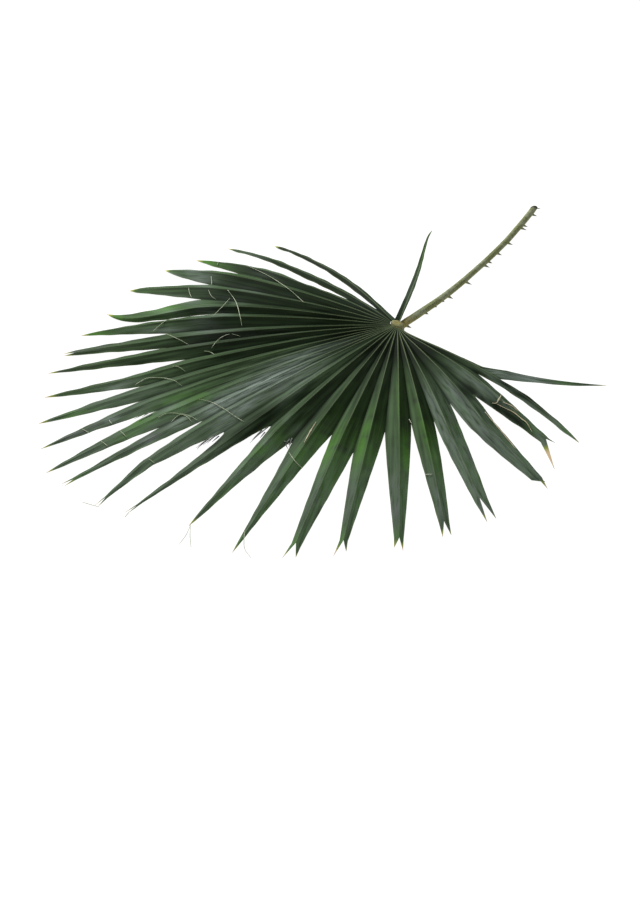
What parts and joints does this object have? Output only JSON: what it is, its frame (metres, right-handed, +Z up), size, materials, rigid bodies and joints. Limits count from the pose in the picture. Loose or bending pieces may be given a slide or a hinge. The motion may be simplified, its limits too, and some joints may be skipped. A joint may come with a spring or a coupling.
{
  "type": "fan palm leaf",
  "caption": "Cut fan palm leaf lying underside up: a pleated green fan of long free rays, some with forked tips, on a slim thorny olive stalk.",
  "frame": {"origin": "On the surface, at the middle of the flat foot under the stalk's head, where the rays come together", "axes": "+Z up, away from the surface; -Y along the middle of the fan; +Y towards the cut end of the stalk; +X to the right seen from above with the fan towards the viewer"},
  "size_m": [0.7677, 0.983, 0.0267],
  "materials": {
    "blade": "waxy dark green leaf, satin, grey bloom in places",
    "stalk": "olive green plant stalk with a pale yellow head and brown thorns, satin"
  },
  "bodies": {
    "root": {"leaf_blade": "blade", "leaf_stalk": "stalk"}
  },
  "joints": []
}
